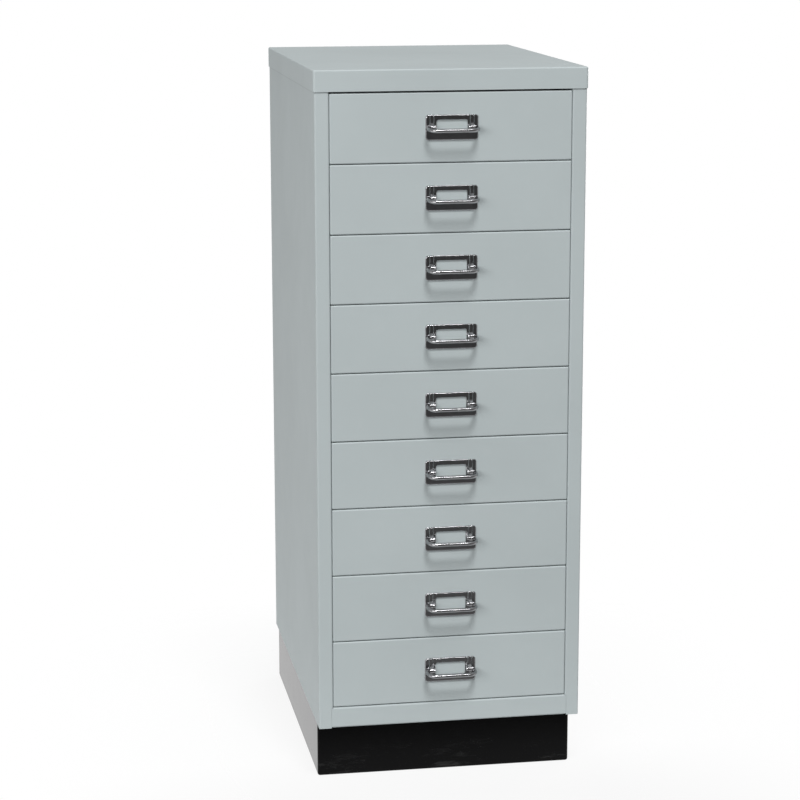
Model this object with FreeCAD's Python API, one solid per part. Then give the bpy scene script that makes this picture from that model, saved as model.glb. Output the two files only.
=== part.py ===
import FreeCAD, Part
import math
import os

# Steel multi-drawer cabinet on a set-back plinth. Millimetres, +Z up, the front faces -Y.
# The origin is on the floor, under the middle of the cabinet's whole width and depth, pulls included.

# Body: side panels, floor panel, back panel and rails
body_width = 279.0
body_depth = 380.0
body_sheet = 0.9
body_bend = 0.9
stile_width = 15.0
stile_return = 12.0
rear_flange = 12.0
floor_flange = 12.0
skirt_drop = 0.5
rail_height = 22.0
rail_return = 12.0
rail_seam = 0.15
rail_relief = 0.3
panel_fit = 0.2
top_rail_raise = 0.8

# Lid
lid_sheet = 0.8
lid_lip = 21.7
lid_fit = 0.2
lid_edge_radius = 1.6
lid_corner_radius = 2.6

# Plinth and its bolts
plinth_height = 64.5
plinth_sheet = 1.5
plinth_front_setback = 32.0
plinth_side_inset = 2.5
plinth_rear_inset = 3.0
plinth_flange = 25.0
plinth_corner_radius = 3.0
plinth_bend_radius = 2.4
bolt_diameter = 6.0
bolt_hole_clearance = 0.3
bolt_end_distance = 42.0
bolt_head_width = 10.0
bolt_head_height = 4.0
bolt_tail = 2.0
nut_height = 5.0

# Drawer fronts
drawer_count = 9
front_height = 70.4
front_gap = 0.8
front_side_gap = 0.3
front_top_gap = 1.8
front_sheet = 0.9
front_depth = 12.0
front_lip = 12.0
front_edge_radius = 1.4
front_corner_radius = 1.2

# Drawer trays
tray_sheet = 0.8
tray_bend = 0.8
tray_lift = 4.0
tray_height = 56.0
tray_length = 346.0
tray_front_rise = 5.0
tray_rear_lip = 6.0
tray_rear_lip_inset = 5.0
ear_length = 18.0

# Runners and the uprights that carry them
runner_sheet = 1.2
runner_bend = 0.8
runner_mouth = 7.0
runner_lip = 8.0
runner_setback = 2.0
running_gap = 0.3
tray_side_gap = 0.8
ear_gap = 0.8
stop_depth = 4.0
stop_gap = 0.4
stop_setback = 30.0
end_gap = 0.5
tab_relief = 0.4
upright_sheet = 1.2
upright_bend = 1.0
upright_crown = 30.0
upright_foot = 10.0
upright_front_place = 50.0
upright_rear_place = 30.0
upright_top_gap = 2.0

# Label frames
plate_width = 54.0
plate_height = 25.7
plate_stand = 1.6
plate_sheet = 0.7
plate_corner_radius = 3.2
plate_edge_radius = 1.1
window_width = 32.0
window_height = 13.5
window_top_border = 4.8
window_corner_radius = 1.8
rib_spacing = 41.2
rib_width = 3.2
rib_rise = 0.5
rib_shoulder = 4.4
slit_width = 0.7
slit_foot = 1.0
eye_wall = 0.6
eye_foot = 1.2
rest_tab_width = 3.0
rest_tab_sheet = 0.9
rest_tab_reach = 4.5
clinch_tab_width = 4.0
clinch_tab_spacing = 26.0
clinch_tab_leg = 3.0
clinch_tab_inset = 0.35
clinch_slot_clearance = 0.15

# Wire pulls
wire_diameter = 4.0
wire_gap = 0.3
pivot_clearance = 0.08
pull_span = 49.8
pull_length = 14.2
pull_corner_radius = 7.5
pull_root_radius = 2.7
pull_end_gap = 33.0
pull_end_round = 0.5
pull_droop = 8.0

# Places worked out from the sizes above
pivot_stand = plate_stand + wire_gap + wire_diameter / 2
pull_reach = pivot_stand + pull_length * math.cos(math.radians(pull_droop)) + wire_diameter / 2
lid_overhang = lid_fit + lid_sheet
front_y = (pull_reach - body_depth - lid_overhang) / 2
back_y = front_y + body_depth
inner_back_y = back_y - 2 * body_sheet
side_x = body_width / 2
inner_side_x = side_x - body_sheet
stile_x = side_x - stile_width
stile_flat_x = stile_x + body_sheet + body_bend

pitch = front_height + front_gap
rail_top = plinth_height + rail_height
opening_height = drawer_count * pitch + front_top_gap
lip_bottom = rail_top + opening_height
body_top = lip_bottom + lid_lip
panel_top = body_top - lid_edge_radius

front_half = stile_x - front_side_gap
tray_start = front_y + front_depth
tray_end = tray_start + tray_length
runner_x = stile_x
runner_start = front_y + stile_return + runner_setback
runner_end = tray_end + end_gap + runner_sheet
stop_y = runner_start + stop_setback
tray_half = runner_x - runner_lip - tray_side_gap
flange_half = runner_x - stop_depth - stop_gap
ear_half = runner_x - ear_gap
drawer_travel = tray_end - ear_length - stop_y - runner_sheet - end_gap

eye_radius = wire_diameter / 2 + pivot_clearance + eye_wall


def plan(a, b):
    """Point in the horizontal plane."""
    return FreeCAD.Vector(a, b, 0)


def front_view(a, b):
    """Point in the XZ plane."""
    return FreeCAD.Vector(a, 0, b)


def side_view(a, b):
    """Point in the YZ plane."""
    return FreeCAD.Vector(0, a, b)


def box(x0, x1, y0, y1, z0, z1):
    """Block between two opposite corners."""
    return Part.makeBox(x1 - x0, y1 - y0, z1 - z0, FreeCAD.Vector(x0, y0, z0))


def mirrored(shape):
    """The same piece on the other side of the cabinet."""
    return shape.mirror(FreeCAD.Vector(0, 0, 0), FreeCAD.Vector(1, 0, 0))


def rounded(shape, radius, wanted):
    """Round the edges for which wanted(middle, direction) is true."""
    edges = []
    for edge in shape.Edges:
        middle = edge.valueAt((edge.FirstParameter + edge.LastParameter) / 2)
        direction = edge.tangentAt((edge.FirstParameter + edge.LastParameter) / 2)
        if wanted(middle, direction):
            edges.append(edge)
    return shape.makeFillet(radius, edges)


def along_y(middle, direction):
    """True for a straight edge from front to back."""
    return abs(direction.y) > 0.999


def along_z(middle, direction):
    """True for a straight upright edge."""
    return abs(direction.z) > 0.999


def folded_side(points, offset, radius, view):
    """Edges of one face of a folded sheet, at an offset to the left of its centreline."""
    edges = []
    first = None
    current = None
    for i in range(len(points) - 1):
        ax, ay = points[i]
        bx, by = points[i + 1]
        length = math.hypot(bx - ax, by - ay)
        dx = (bx - ax) / length
        dy = (by - ay) / length
        if current is None:
            current = (ax - dy * offset, ay + dx * offset)
            first = current
        if i + 2 == len(points):
            last = (bx - dy * offset, by + dx * offset)
            edges.append(Part.makeLine(view(*current), view(*last)))
            current = last
            continue
        cx, cy = points[i + 2]
        next_length = math.hypot(cx - bx, cy - by)
        ex = (cx - bx) / next_length
        ey = (cy - by) / next_length
        cross = dx * ey - dy * ex
        turn = math.atan2(cross, dx * ex + dy * ey)
        way = math.copysign(1, turn)
        tangent = radius * math.tan(abs(turn) / 2)
        centre = (bx - dx * tangent - dy * radius * way, by - dy * tangent + dx * radius * way)
        reach = math.hypot(bx - centre[0], by - centre[1])
        size = radius - way * offset
        start = (bx - dx * tangent - dy * offset, by - dy * tangent + dx * offset)
        middle = (centre[0] + (bx - centre[0]) / reach * size, centre[1] + (by - centre[1]) / reach * size)
        end = (bx + ex * tangent - ey * offset, by + ey * tangent + ex * offset)
        edges.append(Part.makeLine(view(*current), view(*start)))
        edges.append(Part.Arc(view(*start), view(*middle), view(*end)).toShape())
        current = end
    return edges, first, current


def folded_sheet(points, sheet, bend, view, travel):
    """Sheet folded along centreline points, with inside radius bend, drawn out along travel."""
    radius = bend + sheet / 2
    left, left_first, left_last = folded_side(points, sheet / 2, radius, view)
    right, right_first, right_last = folded_side(points, -sheet / 2, radius, view)
    ends = [
        Part.makeLine(view(*left_last), view(*right_last)),
        Part.makeLine(view(*right_first), view(*left_first)),
    ]
    outline = Part.Wire(Part.__sortEdges__(left + right + ends))
    return Part.Face(outline).extrude(travel)


def side_panel():
    """Right side panel in one folded sheet, the stile's fold notched out beside the bottom rail."""
    half = body_sheet / 2
    points = [
        (stile_x + half, front_y + stile_return),
        (stile_x + half, front_y + half),
        (side_x - half, front_y + half),
        (side_x - half, back_y - half),
        (side_x - rear_flange, back_y - half),
    ]
    bottom = plinth_height - skirt_drop
    panel = folded_sheet(points, body_sheet, body_bend, plan, FreeCAD.Vector(0, 0, panel_top - bottom))
    panel.translate(FreeCAD.Vector(0, 0, bottom))
    notch = box(
        stile_x - 1, stile_flat_x, front_y - 1, front_y + stile_return + 1,
        bottom - 1, rail_top - body_sheet + rail_relief,
    )
    return panel.cut(notch)


def back_panel():
    """Flat sheet welded inside the side panels' rear flanges."""
    half = inner_side_x - body_bend - panel_fit
    return box(-half, half, inner_back_y, inner_back_y + body_sheet, plinth_height, panel_top)


def bolt_places():
    """Plan position of each plinth bolt."""
    across = side_x - plinth_side_inset - bolt_end_distance
    near = front_y + plinth_front_setback + plinth_flange / 2
    far = back_y - plinth_rear_inset - plinth_flange / 2
    return [(-across, near), (across, near), (-across, far), (across, far)]


def bolt_holes(bottom, top):
    """Cylinders that clear the plinth bolts between two heights."""
    radius = bolt_diameter / 2 + bolt_hole_clearance
    return [
        Part.makeCylinder(radius, top - bottom, FreeCAD.Vector(x, y, bottom))
        for x, y in bolt_places()
    ]


def floor_panel():
    """Floor with its front folded up as the bottom rail, an ear at each end to meet the stiles."""
    half = body_sheet / 2
    rail_half = stile_x - rail_seam
    floor_mid = plinth_height + half
    flange_top = plinth_height + floor_flange
    along = folded_sheet(
        [
            (front_y + rail_return, rail_top - half),
            (front_y + half, rail_top - half),
            (front_y + half, floor_mid),
            (inner_back_y - half, floor_mid),
            (inner_back_y - half, flange_top),
        ],
        body_sheet, body_bend, side_view, FreeCAD.Vector(2 * rail_half, 0, 0),
    )
    along.translate(FreeCAD.Vector(-rail_half, 0, 0))
    wall = inner_side_x - panel_fit - half
    wing_start = front_y + stile_return + panel_fit
    across = folded_sheet(
        [(-wall, flange_top), (-wall, floor_mid), (wall, floor_mid), (wall, flange_top)],
        body_sheet, body_bend, front_view, FreeCAD.Vector(0, inner_back_y - wing_start, 0),
    )
    across.translate(FreeCAD.Vector(0, wing_start, 0))
    panel = along.fuse(across)
    ear_end = stile_flat_x - rail_seam
    for near, far in ((-ear_end, -rail_half), (rail_half, ear_end)):
        ear = box(
            near, far, front_y, front_y + body_sheet, plinth_height + body_sheet, rail_top - body_sheet,
        )
        panel = panel.fuse(ear)
    for hole in bolt_holes(plinth_height - 1, plinth_height + body_sheet + 1):
        panel = panel.cut(hole)
    return panel.removeSplitter()


def top_rail():
    """Folded rail between the stiles, behind the lid's front lip."""
    half = body_sheet / 2
    rail_half = stile_x - rail_seam
    low = lip_bottom + top_rail_raise + half
    high = panel_top - half
    rail = folded_sheet(
        [
            (front_y + rail_return, low),
            (front_y + half, low),
            (front_y + half, high),
            (front_y + rail_return, high),
        ],
        body_sheet, body_bend, side_view, FreeCAD.Vector(2 * rail_half, 0, 0),
    )
    rail.translate(FreeCAD.Vector(-rail_half, 0, 0))
    return rail


def lid():
    """Pressed cap with a lip on four sides."""
    half = side_x + lid_overhang
    y0 = front_y - lid_overhang
    y1 = back_y + lid_overhang
    outer = box(-half, half, y0, y1, lip_bottom, body_top)
    outer = rounded(outer, lid_corner_radius, along_z)
    outer = rounded(outer, lid_edge_radius, lambda m, d: m.z > body_top - 0.001)
    t = lid_sheet
    ceiling = body_top - t
    inner = box(-half + t, half - t, y0 + t, y1 - t, lip_bottom - 1, ceiling)
    inner = rounded(inner, lid_corner_radius - t, along_z)
    inner = rounded(inner, lid_edge_radius - t, lambda m, d: m.z > ceiling - 0.001)
    return outer.cut(inner)


def plinth_frame():
    """Whole plinth frame: wall with inward flanges at the top and the bottom, before mitring."""
    x = side_x - plinth_side_inset
    y0 = front_y + plinth_front_setback
    y1 = back_y - plinth_rear_inset
    t = plinth_sheet
    f = plinth_flange
    outer = rounded(box(-x, x, y0, y1, 0, plinth_height), plinth_corner_radius, along_z)
    outer = rounded(outer, plinth_bend_radius, lambda m, d: min(m.z, plinth_height - m.z) < 0.001)
    inner = box(-x + t, x - t, y0 + t, y1 - t, t, plinth_height - t)
    inner = rounded(inner, plinth_corner_radius - t, along_z)
    inner = rounded(inner, plinth_bend_radius - t, lambda m, d: min(m.z, plinth_height - m.z) < t + 0.001)
    mouth = box(-x + f, x - f, y0 + f, y1 - f, -1, plinth_height + 1)
    frame = outer.cut(inner).cut(mouth)
    for hole in bolt_holes(plinth_height - t - 1, plinth_height + 1):
        frame = frame.cut(hole)
    return frame


def plinth_rails():
    """The frame's four rails, mitred at the corners."""
    frame = plinth_frame()
    x = side_x - plinth_side_inset
    y0 = front_y + plinth_front_setback
    y1 = back_y - plinth_rear_inset
    margin = plinth_flange
    inset = x + margin
    corners = {
        "front": [(-x - margin, y0 - margin), (x + margin, y0 - margin), (0, y0 + x)],
        "rear": [(-x - margin, y1 + margin), (x + margin, y1 + margin), (0, y1 - x)],
        "left": [(-inset, y0 - margin), (0, y0 + x), (0, y1 - x), (-inset, y1 + margin)],
        "right": [(inset, y0 - margin), (0, y0 + x), (0, y1 - x), (inset, y1 + margin)],
    }
    rails = {}
    for side, outline in corners.items():
        loop = [plan(*point) for point in outline + outline[:1]]
        wedge = Part.Face(Part.makePolygon(loop)).extrude(FreeCAD.Vector(0, 0, plinth_height))
        rails[side] = frame.common(wedge)
    return rails


def hexagon(across_flats, height, place):
    """Six-sided prism standing on a place."""
    radius = across_flats / math.sqrt(3)
    points = []
    for i in range(7):
        angle = math.radians(60 * i)
        points.append(place + FreeCAD.Vector(radius * math.cos(angle), radius * math.sin(angle), 0))
    return Part.Face(Part.makePolygon(points)).extrude(FreeCAD.Vector(0, 0, height))


def plinth_bolts():
    """Bolts down through the floor panel and the plinth's top flange, each with its nut."""
    head_bottom = plinth_height + body_sheet
    nut_top = plinth_height - plinth_sheet
    nut_bottom = nut_top - nut_height
    shank_bottom = nut_bottom - bolt_tail
    solids = []
    for x, y in bolt_places():
        head = hexagon(bolt_head_width, bolt_head_height, FreeCAD.Vector(x, y, head_bottom))
        shank = Part.makeCylinder(
            bolt_diameter / 2, head_bottom - shank_bottom, FreeCAD.Vector(x, y, shank_bottom)
        )
        nut = hexagon(bolt_head_width, nut_height, FreeCAD.Vector(x, y, nut_bottom))
        bore = Part.makeCylinder(bolt_diameter / 2, nut_height, FreeCAD.Vector(x, y, nut_bottom))
        solids.append(head.fuse(shank))
        solids.append(nut.cut(bore))
    return Part.makeCompound(solids)


def upright(middle_y):
    """Hat-section upright on the right side panel, its crown against the runners."""
    half = upright_sheet / 2
    wall = inner_side_x - half
    crown = runner_x + runner_sheet + half
    inner = upright_crown / 2
    outer = inner + upright_foot
    bottom = plinth_height + floor_flange + upright_top_gap
    top = panel_top - upright_top_gap
    hat = folded_sheet(
        [
            (wall, middle_y - outer),
            (wall, middle_y - inner),
            (crown, middle_y - inner),
            (crown, middle_y + inner),
            (wall, middle_y + inner),
            (wall, middle_y + outer),
        ],
        upright_sheet, upright_bend, plan, FreeCAD.Vector(0, 0, top - bottom),
    )
    hat.translate(FreeCAD.Vector(0, 0, bottom))
    return hat


def runner():
    """Right C-channel of a drawer, with a lanced stop tab in front and an end tab behind."""
    t = runner_sheet
    low = tray_lift + tray_height - tray_sheet - running_gap
    high = low + runner_mouth
    inner = runner_x - runner_lip
    channel = folded_sheet(
        [
            (inner, low - t / 2),
            (runner_x + t / 2, low - t / 2),
            (runner_x + t / 2, high + t / 2),
            (inner, high + t / 2),
        ],
        t, runner_bend, front_view, FreeCAD.Vector(0, runner_end - runner_start, 0),
    )
    channel.translate(FreeCAD.Vector(0, runner_start, 0))
    tab_low = low + tab_relief
    tab_high = high - tab_relief
    lance = box(runner_x - t, runner_x + 2 * t, stop_y - stop_depth, stop_y, tab_low, tab_high)
    stop = box(runner_x - stop_depth, runner_x + t, stop_y, stop_y + t, tab_low, tab_high)
    end = box(inner, runner_x + t, runner_end - t, runner_end, tab_low, tab_high)
    return channel.cut(lance).fuse(stop).fuse(end).removeSplitter()


def runner_pair():
    """Left and right runners of a drawer."""
    right = runner()
    return Part.makeCompound([right, mirrored(right)])


def clinch_places():
    """Middle of each label frame's clinch tab: x, and +1 for the top edge or -1 for the bottom."""
    half = clinch_tab_spacing / 2
    return [(-half, 1), (half, 1), (-half, -1), (half, -1)]


def clinch_heights(way):
    """Outer and inner height of a clinch tab's shank, from the middle of the plate."""
    outer = plate_height / 2 - clinch_tab_inset
    return way * outer, way * (outer - plate_sheet)


def drawer_front():
    """Folded pan with returns on four sides, lips behind and slots for the label frame's tabs."""
    x = front_half
    y = front_y
    t = front_sheet
    high = front_height
    outer = box(-x, x, y, y + front_depth, 0, high)
    outer = rounded(outer, front_corner_radius, along_y)
    outer = rounded(outer, front_edge_radius, lambda m, d: m.y < y + 0.001)
    inner = box(-x + t, x - t, y + t, y + front_depth - t, t, high - t)
    inner = rounded(inner, front_corner_radius - t, along_y)
    inner = rounded(inner, front_edge_radius - t, lambda m, d: m.y < y + t + 0.001)
    rear = box(-x + t, x - t, y + t + 1, y + front_depth + 1, front_lip, high - front_lip)
    pan = outer.cut(inner).cut(rear)
    middle = high / 2
    c = clinch_slot_clearance
    for place, way in clinch_places():
        edge, root = clinch_heights(way)
        slot = box(
            place - clinch_tab_width / 2 - c, place + clinch_tab_width / 2 + c,
            y - 1, y + t + 1,
            middle + min(edge, root) - c, middle + max(edge, root) + c,
        )
        pan = pan.cut(slot)
    return pan


def end_wall(y, rise):
    """Front or rear wall of a tray, its lower corners matched to the tray's folds."""
    low = tray_lift
    high = low + tray_height + rise
    wall = box(-tray_half, tray_half, y, y + tray_sheet, low, high)
    return rounded(wall, tray_bend + tray_sheet, lambda m, d: abs(d.y) > 0.999 and m.z < low + 0.001)


def drawer_tray():
    """Folded tray with outward flanges that run in the channels, and a wider ear at the rear."""
    t = tray_sheet
    low = tray_lift
    high = low + tray_height
    wall = tray_half - t / 2
    trough = folded_sheet(
        [
            (-flange_half, high - t / 2),
            (-wall, high - t / 2),
            (-wall, low + t / 2),
            (wall, low + t / 2),
            (wall, high - t / 2),
            (flange_half, high - t / 2),
        ],
        t, tray_bend, front_view, FreeCAD.Vector(0, tray_length, 0),
    )
    trough.translate(FreeCAD.Vector(0, tray_start, 0))
    tray = trough.fuse(end_wall(tray_start, tray_front_rise))
    tray = tray.fuse(end_wall(tray_end - t, 0))
    lip_half = tray_half - tray_rear_lip_inset
    tray = tray.fuse(box(-lip_half, lip_half, tray_end - t, tray_end + tray_rear_lip, high - t, high))
    ear = box(flange_half - t, ear_half, tray_end - ear_length, tray_end, high - t, high)
    return tray.fuse(ear).fuse(mirrored(ear)).removeSplitter()


def rib_outline():
    """Side outline of a rib: down from the plate's top edge, out over the eye and back to the plate."""
    root = -(plate_stand - plate_sheet)
    face = -plate_stand
    top = plate_height / 2 - plate_edge_radius
    crest = (face - rib_rise, top)
    shoulder = (face - rib_rise, rib_shoulder)
    foot = (face, -eye_radius - eye_foot)
    tangents = []
    for point, way in ((shoulder, 1), (foot, -1)):
        away = math.atan2(point[1], -(point[0] + pivot_stand))
        spread = math.acos(eye_radius / math.hypot(point[0] + pivot_stand, point[1]))
        angle = away - way * spread
        tangents.append((-pivot_stand - eye_radius * math.cos(angle), eye_radius * math.sin(angle)))
    upper, lower = tangents
    edges = [
        Part.makeLine(side_view(root, top), side_view(*crest)),
        Part.makeLine(side_view(*crest), side_view(*shoulder)),
        Part.makeLine(side_view(*shoulder), side_view(*upper)),
        Part.Arc(
            side_view(*upper), side_view(-pivot_stand - eye_radius, 0), side_view(*lower)
        ).toShape(),
        Part.makeLine(side_view(*lower), side_view(*foot)),
        Part.makeLine(side_view(*foot), side_view(root, foot[1])),
        Part.makeLine(side_view(root, foot[1]), side_view(root, top)),
    ]
    return Part.Face(Part.Wire(edges))


def rest_tab(place):
    """Small tab under one arm of the pull, which holds the pull out at rest."""
    droop = math.radians(pull_droop)
    reach = plate_stand + rest_tab_reach
    below = (reach - pivot_stand) * math.tan(droop) + wire_diameter / 2 / math.cos(droop)
    top = -below - wire_gap
    half = rest_tab_width / 2
    root = -(plate_stand - plate_sheet)
    return box(place - half, place + half, -reach, root, top - rest_tab_sheet, top)


def clinch_tab(place, way):
    """Tab from the plate's rim through the drawer front, bent over behind it."""
    edge, root = clinch_heights(way)
    tip = edge - way * clinch_tab_leg
    half = clinch_tab_width / 2
    behind = front_sheet + plate_sheet
    shank = box(place - half, place + half, -plate_sheet, behind, min(edge, root), max(edge, root))
    leg = box(place - half, place + half, front_sheet, behind, min(edge, tip), max(edge, tip))
    return shank.fuse(leg)


def label_frame():
    """Pressed plate with a window, two ribs with eyes for the pull, rest tabs and clinch tabs."""
    w = plate_width / 2
    h = plate_height / 2
    t = plate_sheet
    outer = rounded(box(-w, w, -plate_stand, 0, -h, h), plate_corner_radius, along_y)
    outer = rounded(outer, plate_edge_radius, lambda m, d: m.y < -plate_stand + 0.001)
    inner = box(-w + t, w - t, -plate_stand + t, 1, -h + t, h - t)
    inner = rounded(inner, plate_corner_radius - t, along_y)
    inner = rounded(inner, plate_edge_radius - t, lambda m, d: m.y < t - plate_stand + 0.001)
    top = h - window_top_border
    window = box(-window_width / 2, window_width / 2, -plate_stand - 1, 1, top - window_height, top)
    plate = outer.cut(inner).cut(rounded(window, window_corner_radius, along_y))
    rib_x = rib_spacing / 2
    for way in (-1, 1):
        middle = way * rib_x
        for beside in (-1, 1):
            near = middle + beside * rib_width / 2
            far = near + beside * slit_width
            slit = box(min(near, far), max(near, far), -plate_stand - 1, 0, slit_foot, h + 1)
            plate = plate.cut(slit)
        rib = rib_outline().extrude(FreeCAD.Vector(rib_width, 0, 0))
        rib.translate(FreeCAD.Vector(middle - rib_width / 2, 0, 0))
        plate = plate.fuse(rib)
        plate = plate.fuse(rest_tab(way * pull_span / 2))
    for place, edge in clinch_places():
        plate = plate.fuse(clinch_tab(place, edge))
    bore = Part.makeCylinder(
        wire_diameter / 2 + pivot_clearance, plate_width,
        FreeCAD.Vector(-w, -pivot_stand, 0), FreeCAD.Vector(1, 0, 0),
    )
    plate = plate.cut(bore).removeSplitter()
    plate.translate(FreeCAD.Vector(0, front_y, front_height / 2))
    return plate


def pull():
    """U-shaped wire, its ends turned in through the eyes, resting a little below level."""
    end = pull_end_gap / 2
    arm = pull_span / 2
    root = pull_root_radius
    corner = pull_corner_radius
    far = -pull_length
    eighth = 1 - math.sqrt(0.5)
    half_path = [
        ((end, 0), (arm - root, 0)),
        ((arm - root, 0), (arm - root * eighth, -root * eighth), (arm, -root)),
        ((arm, -root), (arm, far + corner)),
        ((arm, far + corner), (arm - corner * eighth, far + corner * eighth), (arm - corner, far)),
    ]
    edges = []
    for way in (-1, 1):
        for stretch in half_path:
            points = [plan(way * x, y) for x, y in stretch]
            if len(points) == 2:
                edges.append(Part.makeLine(*points))
            else:
                edges.append(Part.Arc(*points).toShape())
    edges.append(Part.makeLine(plan(corner - arm, far), plan(arm - corner, far)))
    path = Part.Wire(Part.__sortEdges__(edges))
    start = Part.makeCircle(wire_diameter / 2, plan(-end, 0), FreeCAD.Vector(1, 0, 0))
    wire = path.makePipe(Part.Face(Part.Wire(start)))
    wire = rounded(
        wire, pull_end_round,
        lambda m, d: abs(abs(m.x) - end) < 0.001 and abs(d.x) < 0.001,
    )
    wire.rotate(FreeCAD.Vector(0, 0, 0), FreeCAD.Vector(1, 0, 0), pull_droop)
    wire.translate(FreeCAD.Vector(0, front_y - pivot_stand, front_height / 2))
    return wire


def drawer_bottom(number):
    """Height of the bottom edge of a drawer's front; drawer 1 is the top one."""
    return rail_top + front_gap + (drawer_count - number) * pitch


def build():
    """Every piece of the cabinet by its name. A drawer's pieces are made once, its front's foot at z = 0."""
    pieces = {}
    pieces["lid"] = lid()
    right_side = side_panel()
    pieces["right_side_panel"] = right_side
    pieces["left_side_panel"] = mirrored(right_side)
    pieces["back_panel"] = back_panel()
    pieces["floor_panel"] = floor_panel()
    pieces["top_rail"] = top_rail()
    for side, rail in plinth_rails().items():
        pieces["plinth_" + side + "_rail"] = rail
    pieces["plinth_bolts"] = plinth_bolts()
    front_upright = upright(runner_start + upright_front_place)
    rear_upright = upright(runner_end - upright_rear_place)
    pieces["right_front_upright"] = front_upright
    pieces["left_front_upright"] = mirrored(front_upright)
    pieces["right_rear_upright"] = rear_upright
    pieces["left_rear_upright"] = mirrored(rear_upright)
    drawer_pieces = {
        "runner_pair": runner_pair(),
        "drawer_front": drawer_front(),
        "drawer_tray": drawer_tray(),
        "label_frame": label_frame(),
        "pull": pull(),
    }
    for number in range(1, drawer_count + 1):
        for name, piece in drawer_pieces.items():
            placed = piece.copy()
            placed.translate(FreeCAD.Vector(0, 0, drawer_bottom(number)))
            pieces[name + "_" + str(number)] = placed
    return pieces


os.makedirs("parts", exist_ok=True)
for name, piece in build().items():
    piece.exportStep("parts/" + name + ".step")
print("front face at y =", round(front_y, 3), "top at z =", round(body_top, 3))
print("drawer travel", round(drawer_travel, 3))
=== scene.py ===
"""Looks of the steel multi-drawer cabinet: finishes, studio and camera, in metres."""

import logging
import math
from dataclasses import dataclass
from enum import Enum
from typing import Any

import bpy
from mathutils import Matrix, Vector

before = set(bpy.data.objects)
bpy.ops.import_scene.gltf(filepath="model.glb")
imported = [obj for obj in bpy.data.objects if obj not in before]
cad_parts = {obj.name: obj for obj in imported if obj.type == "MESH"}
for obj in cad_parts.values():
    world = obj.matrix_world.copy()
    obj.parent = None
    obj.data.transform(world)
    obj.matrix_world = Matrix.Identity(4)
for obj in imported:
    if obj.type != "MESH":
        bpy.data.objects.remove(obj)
log = logging.getLogger("cabinet")

Colour = tuple[float, float, float]
Triple = tuple[float, float, float]
Band = tuple[float, float]

DRAWER_COUNT = 9
GREY: Colour = (0.452, 0.503, 0.510)
INNER_TONE = 0.93
BLACK: Colour = (0.0016, 0.0016, 0.0018)
NICKEL: Colour = (0.33, 0.33, 0.34)
BRIGHT_ZINC: Colour = (0.62, 0.63, 0.65)
WHITE: Colour = (1.0, 1.0, 1.0)


class Finish(Enum):
    """Material slots, as finishes of the cabinet's pieces."""

    BODY = "body_paint"
    FRONT = "front_paint"
    TRAY = "tray_paint"
    INNER = "inner_paint"
    BLACK = "black_paint"
    PLATING = "plating"
    ZINC = "zinc"


@dataclass(frozen=True)
class Grain:
    """A noise pattern: features per metre, octaves, weight of the finer octaves and scale of each axis."""

    scale: float
    detail: float = 2.0
    roughness: float = 0.5
    stretch: Triple | None = None


class Sock:
    """A shader socket that can be used in Python expressions."""

    def __init__(self, graph: "Graph", source: Any) -> None:
        """Wrap an output socket of a graph."""
        self.graph = graph
        self.source = source

    def __add__(self, other: Any) -> "Sock":
        """Sum."""
        return self.graph.math("ADD", self, other)

    def __sub__(self, other: Any) -> "Sock":
        """Difference."""
        return self.graph.math("SUBTRACT", self, other)

    def __mul__(self, other: Any) -> "Sock":
        """Product."""
        return self.graph.math("MULTIPLY", self, other)

    def __rsub__(self, other: Any) -> "Sock":
        """Difference with a number on the left."""
        return self.graph.math("SUBTRACT", other, self)

    __radd__ = __add__
    __rmul__ = __mul__


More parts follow.
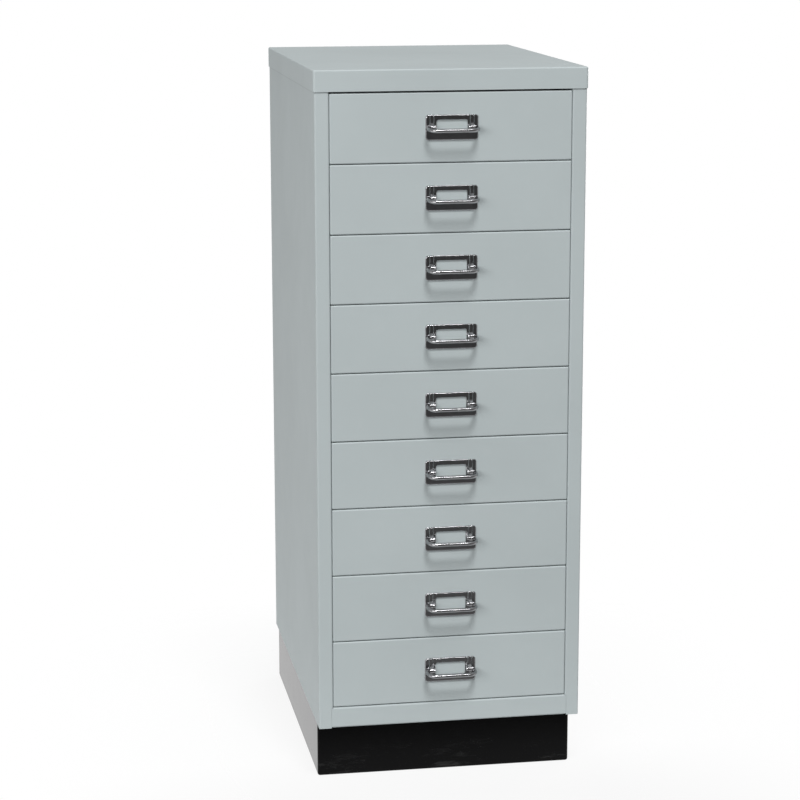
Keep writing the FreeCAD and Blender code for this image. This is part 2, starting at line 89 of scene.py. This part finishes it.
class Graph:
    """Builds the node tree of one material or of the world."""

    def __init__(self, owner: Any, output: str = "ShaderNodeOutputMaterial") -> None:
        """Start an empty tree.

        Args:
            owner: Material or world that the tree belongs to.
            output: Type of its output node.
        """
        self.owner = owner
        owner.use_nodes = True
        self.tree = owner.node_tree
        self.tree.nodes.clear()
        self.output = self.tree.nodes.new(output)
        self.place: Sock | None = None

    @classmethod
    def material(cls, name: str) -> "Graph":
        """Start a new material."""
        return cls(bpy.data.materials.new(name))

    def node(self, kind: str, settings: dict[str, Any] | None = None, **sockets: Any) -> Any:
        """Add a node.

        Args:
            kind: Node type, such as ShaderNodeTexNoise.
            settings: Attributes set before the sockets.
            **sockets: Values or links by socket name, with spaces as underscores, or in0, in1 by place.

        Returns:
            The new node.
        """
        made = self.tree.nodes.new(kind)
        for key, value in (settings or {}).items():
            setattr(made, key, value)
        for key, value in sockets.items():
            if key.startswith("in") and key[2:].isdigit():
                target = made.inputs[int(key[2:])]
            else:
                target = made.inputs[key.replace("_", " ")]
            if isinstance(value, Sock):
                self.tree.links.new(value.source, target)
            else:
                target.default_value = value
        return made

    def out(self, made: Any, name: str | int = 0) -> Sock:
        """Output socket of a node as an expression."""
        return Sock(self, made.outputs[name])

    def math(self, operation: str, a: Any, b: Any) -> Sock:
        """One Math node on two values."""
        return self.out(self.node("ShaderNodeMath", {"operation": operation}, in0=a, in1=b))

    def vector(self, operation: str, a: Any, b: Triple = (0.0, 0.0, 0.0), name: str = "Vector") -> Sock:
        """One Vector Math node on two vectors, and its output by name."""
        return self.out(self.node("ShaderNodeVectorMath", {"operation": operation}, in0=a, in1=b), name)

    def coords(self) -> Sock:
        """Object coordinates, in metres."""
        if self.place is None:
            self.place = self.out(self.node("ShaderNodeTexCoord"), "Object")
        return self.place

    def part(self, vector: Sock, axis: int) -> Sock:
        """One part of a vector: 0 for x, 1 for y, 2 for z."""
        return self.out(self.node("ShaderNodeSeparateXYZ", None, Vector=vector), axis)

    def rays(self) -> tuple[Sock, Sock]:
        """Tell apart the rays that meet the surface.

        Returns:
            1 for rays from the camera, and 1 for glossy and transmission rays.
        """
        path = self.node("ShaderNodeLightPath")
        glossy = self.out(path, "Is Glossy Ray")
        passed = self.out(path, "Is Transmission Ray")
        return self.out(path, "Is Camera Ray"), self.math("MAXIMUM", glossy, passed)

    def noise(self, grain: Grain) -> Sock:
        """Noise from 0 to 1 on the object coordinates.

        Args:
            grain: Pattern of the noise.

        Returns:
            The noise value.
        """
        place = self.coords()
        if grain.stretch is not None:
            place = self.out(self.node("ShaderNodeMapping", None, Vector=place, Scale=grain.stretch))
        made = self.node("ShaderNodeTexNoise", None, Vector=place, Scale=grain.scale,
                         Detail=grain.detail, Roughness=grain.roughness)
        return self.out(made, "Fac")

    def ramp(self, value: Sock, band: Band) -> Sock:
        """Value mapped from the band to 0..1 and held there."""
        low, high = band
        made = self.node("ShaderNodeMapRange", {"clamp": True}, Value=value, From_Min=low, From_Max=high)
        return self.out(made)

    def patches(self, grain: Grain, band: Band) -> Sock:
        """Noise from which a band is stretched to 0..1."""
        return self.ramp(self.noise(grain), band)

    def blend(self, share: Any, first: Any, second: Any) -> Sock:
        """Colour between two colours.

        Args:
            share: 0 for the first colour, 1 for the second.
            first: First colour or socket.
            second: Second colour or socket.

        Returns:
            The mixed colour.
        """
        ends = [value if isinstance(value, Sock) else (*value, 1.0) for value in (first, second)]
        made = self.node("ShaderNodeMix", {"data_type": "RGBA"}, in0=share, in6=ends[0], in7=ends[1])
        return self.out(made, 2)

    def bump(self, height: Sock, strength: float, distance: float) -> Sock:
        """Bumped normal from a height."""
        made = self.node("ShaderNodeBump", None, Height=height, Strength=strength, Distance=distance)
        return self.out(made, "Normal")

    def complete(self, shader: Any) -> Any:
        """Link the last shader to the output and return the material or world."""
        self.tree.links.new(shader.outputs[0], self.output.inputs[0])
        return self.owner

    def surface(self, **sockets: Any) -> bpy.types.Material:
        """Finish the material with one Principled shader."""
        return self.complete(self.node("ShaderNodeBsdfPrincipled", None, **sockets))


def scaled(colour: Colour, factor: float) -> Colour:
    """Colour times a factor, held at 1."""
    return tuple(min(1.0, part * factor) for part in colour)


@dataclass(frozen=True)
class PowderCoat:
    """Satin powder coat: orange peel, faint cloudiness, a little dust, and painted shade under the lid's
    lip.

    The crease is the height of the lip's lower edge; a thin band below it is darkened as painted shade.
    Depths are in metres, and tones multiply the colour.
    """

    name: str
    colour: Colour
    roughness: float = 0.44
    gloss: float = 0.2
    cloud: Grain = Grain(7.0, 3.0, 0.55)
    cloud_band: Band = (0.3, 0.7)
    cloud_tones: Band = (0.965, 1.021)
    dust: Grain = Grain(60.0, 4.0, 0.6)
    dust_band: Band = (0.55, 0.85)
    dust_share: float = 0.04
    dust_colour: Colour = (0.74, 0.75, 0.753)
    rubbed: Grain = Grain(35.0, 3.0, 0.6)
    rubbed_swing: float = 0.1
    peel: Grain = Grain(520.0)
    peel_weight: float = 0.6
    wave: Grain = Grain(140.0, 1.0, 0.4)
    relief: float = 0.12
    relief_depth: float = 0.0003
    # Painted shade under the lid's lip: its height, band depth, upper edge, share and darker tone.
    crease: float | None = None
    painted_shade_depth: float = 0.0016
    painted_shade_edge: float = 0.0001
    painted_shade_share: float = 0.5
    painted_shade_tone: float = 0.4

    def make(self) -> bpy.types.Material:
        """Build the material.

        Returns:
            The finished material.
        """
        g = Graph.material(self.name)
        dark, light = (scaled(self.colour, tone) for tone in self.cloud_tones)
        base = g.blend(g.patches(self.cloud, self.cloud_band), dark, light)
        base = g.blend(g.patches(self.dust, self.dust_band) * self.dust_share, base, self.dust_colour)
        # Painted shade: darken a thin band just below the lid's lip, standing in for the lip's shadow.
        if self.crease is not None:
            z = g.part(g.coords(), 2)
            close = g.ramp(z, (self.crease - self.painted_shade_depth, self.crease))
            above = g.ramp(z, (self.crease, self.crease + self.painted_shade_edge))
            share = close * (1.0 - above) * self.painted_shade_share
            base = g.blend(share, base, scaled(self.colour, self.painted_shade_tone))
        rough = g.noise(self.rubbed) * self.rubbed_swing + (self.roughness - self.rubbed_swing / 2)
        height = g.noise(self.peel) * self.peel_weight + g.noise(self.wave)
        normal = g.bump(height, self.relief, self.relief_depth)
        return g.surface(Base_Color=base, Roughness=rough, Normal=normal, Specular_IOR_Level=self.gloss)


@dataclass(frozen=True)
class BlackSatin:
    """Black satin paint with faint floor scuffs along its foot."""

    name: str
    colour: Colour
    roughness: float = 0.09
    gloss: float = 0.1
    sheen: Grain = Grain(45.0, 3.0, 0.6)
    sheen_swing: float = 0.12
    scuffs: Grain = Grain(22.0, 5.0, 0.7, (1.0, 1.0, 5.0))
    scuff_band: Band = (0.56, 0.72)
    scuff_height: float = 0.035
    scuff_share: float = 0.35
    scuff_colour: Colour = (0.07, 0.07, 0.07)
    scuff_roughness: float = 0.15
    peel: Grain = Grain(420.0)
    relief: float = 0.03
    relief_depth: float = 0.0003

    def make(self) -> bpy.types.Material:
        """Build the material.

        Returns:
            The finished material.
        """
        g = Graph.material(self.name)
        low = 1.0 - g.ramp(g.part(g.coords(), 2), (0.0, self.scuff_height))
        scuffs = g.patches(self.scuffs, self.scuff_band) * low
        base = g.blend(scuffs * self.scuff_share, self.colour, self.scuff_colour)
        sheen = g.noise(self.sheen) * self.sheen_swing + (self.roughness - self.sheen_swing / 2)
        rough = sheen + scuffs * self.scuff_roughness
        normal = g.bump(g.noise(self.peel), self.relief, self.relief_depth)
        return g.surface(Base_Color=base, Roughness=rough, Normal=normal, Specular_IOR_Level=self.gloss)


@dataclass(frozen=True)
class BrightPlating:
    """Dark nickel plating with fine handling marks along its length."""

    name: str
    colour: Colour
    roughness: float = 0.16
    haze: Grain = Grain(180.0, 4.0, 0.6)
    haze_band: Band = (0.35, 0.7)
    haze_tone: float = 1.15
    haze_swing: float = 0.12
    marks: Grain = Grain(900.0, 3.0, 0.6, (0.08, 1.0, 1.0))
    marks_band: Band = (0.6, 0.9)
    marks_roughness: float = 0.12
    marks_weight: float = 0.3
    polish: Grain = Grain(260.0)
    relief: float = 0.08
    relief_depth: float = 0.0002

    def make(self) -> bpy.types.Material:
        """Build the material.

        Returns:
            The finished material.
        """
        g = Graph.material(self.name)
        haze = g.noise(self.haze)
        marks = g.noise(self.marks)
        base = g.blend(g.ramp(haze, self.haze_band), self.colour, scaled(self.colour, self.haze_tone))
        rough = haze * self.haze_swing + (self.roughness - self.haze_swing / 2)
        rough = rough + g.ramp(marks, self.marks_band) * self.marks_roughness
        height = marks * self.marks_weight + g.noise(self.polish)
        normal = g.bump(height, self.relief, self.relief_depth)
        return g.surface(Base_Color=base, Metallic=1.0, Roughness=rough, Normal=normal)


@dataclass(frozen=True)
class ZincPlate:
    """Zinc-plated steel with a soft spangle and rubbed streaks along the travel."""

    name: str
    colour: Colour
    roughness: float = 0.3
    spangle_scale: float = 170.0
    spangle_share: float = 0.5
    spangle_tone: float = 0.85
    spangle_roughness: float = 0.1
    spangle_weight: float = 0.3
    rubbed: Grain = Grain(700.0, 3.0, 0.6, (1.0, 0.03, 1.0))
    rubbed_band: Band = (0.5, 0.8)
    rubbed_share: float = 0.4
    rubbed_tone: float = 1.2
    rubbed_roughness: float = 0.1
    relief: float = 0.1
    relief_depth: float = 0.0002

    def make(self) -> bpy.types.Material:
        """Build the material.

        Returns:
            The finished material.
        """
        g = Graph.material(self.name)
        cells = g.node("ShaderNodeTexVoronoi", None, Vector=g.coords(), Scale=self.spangle_scale)
        tone = g.out(g.node("ShaderNodeSeparateColor", None, Color=g.out(cells, "Color")))
        rubbed = g.patches(self.rubbed, self.rubbed_band)
        base = g.blend(tone * self.spangle_share, scaled(self.colour, self.spangle_tone), self.colour)
        base = g.blend(rubbed * self.rubbed_share, base, scaled(self.colour, self.rubbed_tone))
        rough = tone * self.spangle_roughness + self.roughness + rubbed * self.rubbed_roughness
        normal = g.bump(rubbed + tone * self.spangle_weight, self.relief, self.relief_depth)
        return g.surface(Base_Color=base, Metallic=1.0, Roughness=rough, Normal=normal)


def dress(name: str, material: bpy.types.Material) -> None:
    """Give a CAD node its finish.

    Args:
        name: Name of the node.
        material: Finish of all its faces.
    """
    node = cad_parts[name]
    node.data.materials.clear()
    node.data.materials.append(material)
    log.info("dressed %s in %s", name, material.name)


@dataclass
class Cabinet:
    """The fixed body without the runners: lid, panels, rails, uprights and plinth."""

    finishes: dict[Finish, bpy.types.Material]

    def build(self) -> None:
        """Dress the body's pieces."""
        for node in ("lid", "left_side_panel", "right_side_panel", "back_panel", "floor_panel", "top_rail"):
            dress(node, self.finishes[Finish.BODY])
        for side in ("left", "right"):
            for end in ("front", "rear"):
                dress(f"{side}_{end}_upright", self.finishes[Finish.INNER])
        for side in ("front", "rear", "left", "right"):
            dress(f"plinth_{side}_rail", self.finishes[Finish.BLACK])
        dress("plinth_bolts", self.finishes[Finish.ZINC])


@dataclass
class Drawer:
    """One drawer with its runners, label frame and pull."""

    number: int
    finishes: dict[Finish, bpy.types.Material]

    def build(self) -> None:
        """Dress the drawer's pieces."""
        mark = f"_{self.number}"
        dress("drawer_front" + mark, self.finishes[Finish.FRONT])
        dress("drawer_tray" + mark, self.finishes[Finish.TRAY])
        dress("label_frame" + mark, self.finishes[Finish.PLATING])
        dress("pull" + mark, self.finishes[Finish.PLATING])
        dress("runner_pair" + mark, self.finishes[Finish.ZINC])


@dataclass(frozen=True)
class Lamp:
    """Soft oblong lamp of the studio: its place, watts, width and height."""

    name: str
    place: Triple
    power: float
    size: tuple[float, float]

    def build(self, target: Triple) -> None:
        """Hang the lamp, facing a point.

        Args:
            target: Point that it faces.
        """
        data = bpy.data.lights.new(self.name, "AREA")
        data.energy = self.power
        data.shape = "RECTANGLE"
        data.size, data.size_y = self.size
        lamp = bpy.data.objects.new(self.name, data)
        lamp.visible_camera = False
        bpy.context.scene.collection.objects.link(lamp)
        lamp.location = self.place
        aim = Vector(target) - Vector(self.place)
        lamp.rotation_euler = aim.to_track_quat("-Z", "Y").to_euler()


@dataclass
class Studio:
    """Pale floor, soft light and the camera of the photograph.

    Levels are the strength of the room's light. A cone is the band of a direction's y or z over which the
    light passes from one level to the next. The floor fades out around its core, given as half its size.
    """

    camera_place: Triple = (-0.4567, -2.5346, 0.917)
    camera_pitch: float = 0.2076
    camera_turn: float = -0.17
    camera_roll: float = 0.0011
    camera_reach: float = 50.0
    focal_pixels: float = 2380.7
    frame_pixels: float = 800.0
    sensor: float = 36.0
    front_level: float = 0.08
    back_level: float = 0.44
    top_level: float = 0.38
    foot_level: float = 0.5
    front_cone: Band = (-0.85, -0.15)
    top_cone: Band = (0.35, 0.85)
    sheen_cone: Band = (-0.2, 0.1)
    foot_cone: Band = (-0.75, -0.2)
    lamp_target: Triple = (0.0, -0.15, 0.38)
    lamps: tuple[Lamp, ...] = (
        Lamp("key", (0.41, -8.02, 11.95), 1380.0, (3.7, 3.2)),
        Lamp("front", (-1.6, -2.4, 1.15), 37.0, (1.9, 1.0)),
        Lamp("side", (-1.7, 0.0, 0.15), 2.5, (1.8, 1.2)),
        Lamp("rear", (1.8, 2.2, 0.5), 38.0, (1.9, 1.2)),
    )
    floor_reach: float = 3.0
    floor_front: Colour = (0.35, 0.35, 0.35)
    floor_rear: Colour = (0.85, 0.85, 0.85)
    floor_core: Triple = (0.14, 0.2, 0.0)
    floor_fade: Band = (0.02, 0.3)
    floor_lift: float = 0.86
    floor_sheen: Band = (-0.3, -0.1)

    def build(self) -> None:
        """Make floor, light and camera."""
        self.make_floor()
        self.make_world()
        for lamp in self.lamps:
            lamp.build(self.lamp_target)
        self.make_camera()

    def make_floor(self) -> None:
        """Pale floor that fades out into the white backdrop away from the cabinet."""
        bpy.ops.object.select_all(action="DESELECT")
        bpy.ops.mesh.primitive_plane_add(size=2 * self.floor_reach, location=(0, 0, 0))
        floor = bpy.context.object
        floor.name = "floor"
        g = Graph.material("pale_floor")
        offset = g.vector("ABSOLUTE", g.coords())
        past = g.vector("SUBTRACT", offset, self.floor_core)
        past = g.vector("MAXIMUM", past, (0.0, 0.0, 0.0))
        far = g.ramp(g.vector("LENGTH", past, name="Value"), self.floor_fade)
        rear = g.ramp(g.part(g.coords(), 1), self.floor_sheen)
        paper = g.node("ShaderNodeBsdfDiffuse", None, Color=g.blend(rear, self.floor_front, self.floor_rear))
        white = g.node("ShaderNodeEmission", None, Color=(*WHITE, 1.0), Strength=1.0)
        clear = g.node("ShaderNodeBsdfTransparent")
        seen, mirrored = g.rays()
        lift = seen * self.floor_lift + mirrored * rear
        lifted = g.node("ShaderNodeMixShader", None, in0=lift, in1=g.out(paper), in2=g.out(white))
        mix = g.node("ShaderNodeMixShader", None, in0=far, in1=g.out(lifted), in2=g.out(clear))
        floor.data.materials.append(g.complete(mix))

    def make_world(self) -> None:
        """Room light: dark behind the camera, bright behind the cabinet, white where the camera sees it."""
        g = Graph(bpy.data.worlds.new("studio"), "ShaderNodeOutputWorld")
        way = g.out(g.node("ShaderNodeTexCoord"), "Generated")
        behind = g.ramp(g.part(way, 1), self.front_cone)
        z = g.part(way, 2)
        above = g.ramp(z, self.top_cone)
        low = 1.0 - g.ramp(z, self.sheen_cone)
        foot = 1.0 - g.ramp(z, self.foot_cone)
        seen, mirrored = g.rays()
        level = behind * (self.back_level - self.front_level) + self.front_level
        level = level + above * (self.top_level - level)
        level = level + mirrored * foot * g.math("MAXIMUM", self.foot_level - level, 0.0)
        shown = g.math("MAXIMUM", seen, mirrored * behind * low)
        level = level + shown * (1.0 - level)
        lit = g.node("ShaderNodeBackground", None, Color=(*WHITE, 1.0), Strength=level)
        bpy.context.scene.world = g.complete(lit)

    def make_camera(self) -> None:
        """Camera at the photograph's angle and framing."""
        data = bpy.data.cameras.new("camera")
        data.sensor_width = self.sensor
        data.lens = self.focal_pixels / self.frame_pixels * self.sensor
        data.clip_end = self.camera_reach
        camera = bpy.data.objects.new("camera", data)
        bpy.context.scene.collection.objects.link(camera)
        camera.location = self.camera_place
        camera.rotation_euler = (math.pi / 2 - self.camera_pitch, self.camera_roll, self.camera_turn)
        bpy.context.scene.camera = camera


def main() -> None:
    """Build the cabinet's looks in order."""
    logging.basicConfig(level=logging.INFO)
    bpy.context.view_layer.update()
    # The body coat's painted shade line starts at the lid's lower edge.
    lip_bottom = min(corner[2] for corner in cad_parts["lid"].bound_box)
    finishes = {
        Finish.BODY: PowderCoat("grey_body_coat", GREY, roughness=0.5, crease=lip_bottom).make(),
        Finish.FRONT: PowderCoat("grey_front_coat", GREY).make(),
        Finish.TRAY: PowderCoat("grey_tray_coat", GREY, roughness=0.46, relief=0.1).make(),
        Finish.INNER: PowderCoat("thin_inner_coat", scaled(GREY, INNER_TONE), roughness=0.5).make(),
        Finish.BLACK: BlackSatin("black_satin", BLACK).make(),
        Finish.PLATING: BrightPlating("nickel_chrome", NICKEL).make(),
        Finish.ZINC: ZincPlate("zinc_plate", BRIGHT_ZINC).make(),
    }
    Cabinet(finishes).build()
    for number in range(1, DRAWER_COUNT + 1):
        Drawer(number, finishes).build()
    Studio().build()
    bpy.context.scene.view_settings.view_transform = "Standard"


if __name__ == "__main__":
    main()
